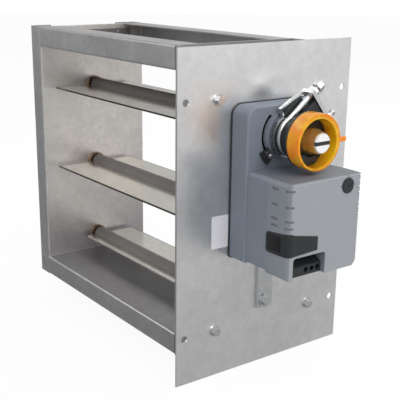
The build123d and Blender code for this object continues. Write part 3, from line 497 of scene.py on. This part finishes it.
def far_wall_light(s):
    """Painted light: the far wall, past which the air goes, is painted brighter and warmer, most of all
    at its front.
    """
    wall = s.inside("X", -duct_half_width - 0.7, -duct_half_width + 0.5, 0.2)
    tint = s.blend(s.along("Y", -60.0, 60.0), (2.12, 2.02, 1.94), (1.40, 1.33, 1.27))
    return s.maths("MULTIPLY", in_duct(s), wall), tint


def low_web(s):
    """The web of the bottom channel is a little paler and warmer."""
    return s.inside("Z", duct_bottom - 2.5, duct_bottom + 0.6, 1.2), (1.20, 1.16, 1.13)


def low_wall_shade(s):
    """Painted shade: between the flanges the sheet is darker towards the foot of the frame."""
    low = s.along("Z", *foot_shade_fade, 1.0, 0.0)
    return s.maths("MULTIPLY", low, in_duct(s)), (0.66, 0.67, 0.70)


def top_inside_shade(s):
    """Painted shade: the inner faces of the top channel are darker."""
    height = s.inside("Z", duct_top + 0.2, flange_top - 1.4)
    width = s.inside("X", -duct_half_width + 0.1, duct_half_width - 0.1, 0.1)
    return s.maths("MULTIPLY", s.maths("MULTIPLY", in_duct(s), height), width), (0.62, 0.61, 0.61)


def on_crest(s):
    """Mask of the half-round crest over a blade's shaft."""
    return s.inside("Y", -crest_half, crest_half, 0.3)


def between_ends(s):
    """Mask of a blade without its ends."""
    return s.inside("X", blade_low[0] + end_margin, blade_high[0] - end_margin, 0.3)


def blade_crest(s):
    """The crest is darker than the flat of the blade."""
    return on_crest(s), (0.25, 0.24, 0.25)


def blade_edge_shade(s):
    """Painted shade: the ends and the long edges of a blade are darker."""
    wide = s.inside("Y", blade_low[1] + front_margin, blade_high[1] - rear_margin, 0.2)
    return s.flip(s.maths("MULTIPLY", between_ends(s), wide)), (0.12, 0.11, 0.09)


def crest_gloss(s):
    """Mask, roughness and metallic share of the crest and of the ends, which aren't glossy."""
    return s.maths("MAXIMUM", s.flip(between_ends(s)), on_crest(s)), 0.7, 0.0


# ------------------------------------------------------------------ materials
cover_face = (cover_high[0], (0.285, 0.298, 0.325))
ring_centre = (19.5, 62.7)  # Y and Z of the middle of the ring's bore
ring_bore = 20.8

mats = {
    # The frame sheet is a darker copy of the zinc-coated sheet of the plate and the blades: painted
    # shade.
    "galvanised_sheet": galvanised(
        "galvanised_sheet", (0.44, 0.44, 0.44), (0.53, 0.53, 0.53), metallic=0.8, rough=(0.30, 0.42),
        ripple=0.03, tints=(far_wall_light, low_web, low_wall_shade, top_inside_shade),
    ),
    # The plate sheet is a paler copy of the same sheet: painted light.
    "plate_sheet": galvanised(
        "plate_sheet", (0.77, 0.77, 0.775), (0.86, 0.86, 0.86), metallic=0.9, rough=(0.27, 0.36),
        ripple=0.05,
    ),
    # The blade sheet is a paler, warmer copy of the same sheet: painted light and painted reflection.
    "blade_sheet": galvanised(
        "blade_sheet", (0.82, 0.79, 0.72), (0.91, 0.88, 0.80), metallic=0.92, rough=(0.13, 0.2),
        ripple=0.02, tints=(blade_crest, blade_edge_shade), dull=crest_gloss,
    ),
    "steel_shaft": metal("steel_shaft", (0.62, 0.62, 0.61)),
    "drive_shaft_white": plastic("drive_shaft_white", (0.78, 0.79, 0.80), rough=0.4, grain=0.1),
    "zinc_steel": metal("zinc_steel", (0.70, 0.71, 0.72)),
    "linkage_steel": metal("linkage_steel", (0.55, 0.56, 0.56), rough=0.32),
    "rivet_aluminium": metal("rivet_aluminium", (0.40, 0.40, 0.41), rough=0.4),
    "bush_brass": metal("bush_brass", (0.30, 0.20, 0.12), rough=0.36),
    "collar_brass": metal("collar_brass", (0.62, 0.53, 0.36), rough=0.2, metallic=0.9),
    # Both plastics get painted shade on their upper faces in front of the rear housing.
    "housing_blue_grey": plastic("housing_blue_grey", (0.176, 0.202, 0.248), top=cover_high[2]),
    "cover_grey": plastic("cover_grey", (0.190, 0.208, 0.238), face=cover_face, top=cover_high[2]),
    "black_plastic": plastic("black_plastic", (0.016, 0.018, 0.02), rough=0.38, grain=0.35),
    "black_gloss": plastic("black_gloss", (0.003, 0.003, 0.004), rough=0.22, grain=0.02),
    "sticker_white": plastic("sticker_white", (0.62, 0.62, 0.66), rough=0.42, grain=0.05,
                             scale=500.0, vary=0.02),
    "orange_plastic": clear_orange("orange_plastic", ring_centre, ring_bore),
}


# ------------------------------------------------------------------ CAD nodes with rounded edges
slot_of = {entry["node"]: entry["material_slot"] for entry in frame["record"]["subparts"]}
body_of = {n: body for body, members in frame["record"]["behaviour"]["bodies"].items() for n in members}
WELD = 1e-6                 # vertices closer than this, in metres, are one
FLAT_ANGLE = 0.6            # degrees between faces that are joined into one flat
ROUND_ABOVE = 32.0          # degrees at an edge that is rounded
ROUND_WIDTH = {             # millimetres
    "top_channel": 0.25, "bottom_channel": 0.25, "far_side_channel": 0.25, "drive_side_channel": 0.25,
    "drive_plate": 0.3, "front_cover": 0.5, "mid_housing": 0.4, "rear_housing": 0.5, "service_cap": 0.6,
    "terminal_block": 0.3, "anti_rotation_strap": 0.4, "clamp_jaw": 0.4,
    "clamp_wedge": 0.5, "end_stop": 0.5, "backing_pad": 0.3, "position_ring": 0.6,
}
KNOB_ROUND_WIDTH = 0.35


def add_bevel(obj, width, angle):
    """Rounds the edges of an object that are sharper than an angle. The width is in millimetres."""
    bevel = obj.modifiers.new("edges", "BEVEL")
    bevel.width = width * MM
    bevel.segments = 2
    bevel.limit_method = "ANGLE"
    bevel.angle_limit = math.radians(angle)


def apply_modifiers(obj):
    """Gives an object the mesh that its modifiers make, and takes them off."""
    bpy.context.view_layer.update()
    final = bpy.data.meshes.new_from_object(obj.evaluated_get(bpy.context.evaluated_depsgraph_get()))
    obj.modifiers.clear()
    obj.data = final


def rounded(name, width, slot_name):
    """A copy of a CAD node with its flats joined and its edges rounded, standing for the node."""
    mesh = nodes[name].data.copy()
    bm = bmesh.new()
    bm.from_mesh(mesh)
    bmesh.ops.remove_doubles(bm, verts=bm.verts, dist=WELD)
    bmesh.ops.dissolve_limit(bm, angle_limit=math.radians(FLAT_ANGLE), verts=bm.verts, edges=bm.edges)
    bm.to_mesh(mesh)
    bm.free()
    piece = bpy.data.objects.new(f"{name}.look", mesh)
    scene.collection.objects.link(piece)
    add_bevel(piece, width, ROUND_ABOVE)
    flat = piece.modifiers.new("flats", "WEIGHTED_NORMAL")
    flat.mode = "FACE_AREA"
    flat.weight = 100
    mesh.shade_smooth()
    apply_modifiers(piece)
    piece.data.materials.clear()
    piece.data.materials.append(mats[slot_name])
    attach(piece, body_of[name])
    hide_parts(name)


for name, obj in nodes.items():
    obj.data.materials.clear()
    obj.data.materials.append(mats[slot_of[name]])
for name, width in ROUND_WIDTH.items():
    rounded(name, width, slot_of[name])
rounded("selector_knob", KNOB_ROUND_WIDTH, "black_plastic")


# ------------------------------------------------------------------ small pieces of the looks
PIECE_EDGE_ABOVE = 35       # degrees at an edge of a small piece that is softened


def add_piece(name, bm, body, slot_name, look=None, edge=0.0):
    """A piece drawn in a bmesh, in millimetres, with softened edges, riding on a body."""
    bmesh.ops.recalc_face_normals(bm, faces=bm.faces)
    mesh = bpy.data.meshes.new(name)
    bm.to_mesh(mesh)
    bm.free()
    mesh.transform(Matrix.Scale(MM, 4))
    obj = bpy.data.objects.new(name, mesh)
    scene.collection.objects.link(obj)
    if edge:
        add_bevel(obj, edge, PIECE_EDGE_ABOVE)
        apply_modifiers(obj)
    obj.data.materials.append(mats[look or slot_name])
    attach(obj, body)


def extrude_into(bm, outline, place, low, high):
    """Adds an outline extruded between two stations. place(u, v, w) gives the point."""
    rings = [[bm.verts.new(place(u, v, w)) for u, v in outline] for w in (low, high)]
    bm.faces.new(rings[0])
    bm.faces.new(list(reversed(rings[1])))
    for k in range(len(outline)):
        n = (k + 1) % len(outline)
        bm.faces.new((rings[0][k], rings[1][k], rings[1][n], rings[0][n]))


def round_rect(u0, u1, v0, v1, radius):
    """Outline of a rectangle with round corners."""
    steps = 5
    corners = (
        (u1 - radius, v1 - radius, 0),
        (u0 + radius, v1 - radius, 90),
        (u0 + radius, v0 + radius, 180),
        (u1 - radius, v0 + radius, 270),
    )
    points = []
    for cu, cv, start in corners:
        for k in range(steps + 1):
            a = math.radians(start + 90 * k / steps)
            points.append((cu + radius * math.cos(a), cv + radius * math.sin(a)))
    return points


def on_x(u, v, w):
    """Outline in Y and Z, extruded along X."""
    return (w, u, v)


def on_y(u, v, w):
    """Outline in X and Z, extruded along Y."""
    return (u, w, v)


def shaft_slot_strip():
    """Dark strip in the slot of the drive shaft. It shows which way the blades lie."""
    radius, half_angle, steps = 7.95, 12.3, 6
    floor_drop, face_drop = 1.5, 0.25
    outline = []
    for middle in (0.0, 180.0):
        for k in range(steps + 1):
            a = math.radians(middle - half_angle + 2 * half_angle * k / steps)
            outline.append((drive_y + radius * math.cos(a), drive_z + radius * math.sin(a)))
    bm = bmesh.new()
    extrude_into(bm, outline, on_x, shaft_high[0] - floor_drop, shaft_high[0] - face_drop)
    add_piece("shaft_slot_strip", bm, "drive", "black_plastic", edge=0.1)


def blank_sticker():
    """Blank white sticker on the drive plate, in front of the actuator."""
    front, gap, bottom, top, corner = -41.0, 0.3, -37.0, -7.0, 0.9
    sunk, thick = 0.02, 0.12
    bm = bmesh.new()
    outline = round_rect(front, pad_front - gap, bottom, top, corner)
    extrude_into(bm, outline, on_x, plate_face - sunk, plate_face + thick)
    add_piece("blank_sticker", bm, "frame", "drive_shaft_white", look="sticker_white", edge=0.04)


def cap_window():
    """Glossy blank window on the left face of the service cap."""
    near, far, below, above, corner = 1.9, 18.4, 2.8, 3.6, 1.1
    proud, sunk = 0.22, 0.1
    bm = bmesh.new()
    outline = round_rect(cap_low[0] + near, cap_low[0] + far, cap_low[2] + below, cap_high[2] - above,
                         corner)
    extrude_into(bm, outline, on_y, cap_low[1] - proud, cap_low[1] + sunk)
    add_piece("cap_window", bm, "frame", "black_plastic", look="black_gloss", edge=0.12)


def vent_slats():
    """A slat in each vent recess of the front cover, four down each side."""
    drops = (6.0, 19.4, 31.4, 37.3)     # from the top of the cover
    near, far, half_height, corner = 6.2, 13.8, 0.42, 0.35
    outer, inner = 0.28, 1.2            # from the side face of the cover
    sides = {
        "left": (cover_low[1] + outer, cover_low[1] + inner),
        "right": (cover_high[1] - inner, cover_high[1] - outer),
    }
    for count, drop in enumerate(drops, start=1):
        level = cover_high[2] - drop
        for side, stations in sides.items():
            bm = bmesh.new()
            outline = round_rect(cover_low[0] + near, cover_low[0] + far, level - half_height,
                                 level + half_height, corner)
            extrude_into(bm, outline, on_y, *stations)
            add_piece(f"vent_slat_{side}_{count}", bm, "frame", "cover_grey", edge=0.1)


def selector_ticks():
    """Three plain tick marks round the selector, a quarter turn apart."""
    inner, outer, half_width = 7.5, 8.9, 0.28
    sunk, thick = 0.05, 0.06
    knob_y, knob_z = (knob_low[1] + knob_high[1]) / 2, (knob_low[2] + knob_high[2]) / 2
    corners = ((inner, -half_width), (outer, -half_width), (outer, half_width), (inner, half_width))
    bm = bmesh.new()
    for degrees in (0, 90, 180):
        a = math.radians(degrees)
        along, across = (math.cos(a), math.sin(a)), (-math.sin(a), math.cos(a))
        outline = [(knob_y + along[0] * r + across[0] * t, knob_z + along[1] * r + across[1] * t)
                   for r, t in corners]
        extrude_into(bm, outline, on_x, cover_high[0] - sunk, cover_high[0] + thick)
    add_piece("selector_ticks", bm, "frame", "black_plastic")


CLAMP_ANGLE = 38.0          # direction of the clamp bolt's legs, in degrees from +Y towards +Z
LEG_OFFSET = 15.3           # shaft axis to the axis of each leg


def bolt_thread(name, across, low, high):
    """Screw thread on a leg of the clamp bolt, between two distances from the shaft axis."""
    pitch, steps = 0.9, 20
    root, crest = 2.58, 2.86
    profile = ((-0.45, root), (0.0, crest), (0.45, root))      # rise in pitches, and radius
    x = (bolt_low[0] + bolt_high[0]) / 2
    angle = math.radians(CLAMP_ANGLE)
    out, side = (math.cos(angle), math.sin(angle)), (-math.sin(angle), math.cos(angle))
    count = max(2, int((high - low) / pitch * steps))
    bm = bmesh.new()
    rows = []
    for k in range(count + 1):
        a = 2 * math.pi * k / steps
        middle = low + (high - low) * k / count
        row = []
        for lift, radius in profile:
            reach = min(max(middle + lift * pitch, low), high)
            shift = across + radius * math.cos(a)
            y = drive_y + out[0] * reach + side[0] * shift
            z = drive_z + out[1] * reach + side[1] * shift
            row.append(bm.verts.new((x + radius * math.sin(a), y, z)))
        rows.append(row)
    for a, b in zip(rows, rows[1:]):
        bm.faces.new((a[0], a[1], b[1], b[0]))
        bm.faces.new((a[1], a[2], b[2], b[1]))
    add_piece(name, bm, "drive", "zinc_steel")


shaft_slot_strip()
blank_sticker()
cap_window()
vent_slats()
selector_ticks()
bolt_thread("bolt_thread_1", -LEG_OFFSET, 41.6, 47.0)
bolt_thread("bolt_thread_2", LEG_OFFSET, 41.6, 44.1)
bolt_thread("bolt_thread_3", LEG_OFFSET, 49.7, 50.5)
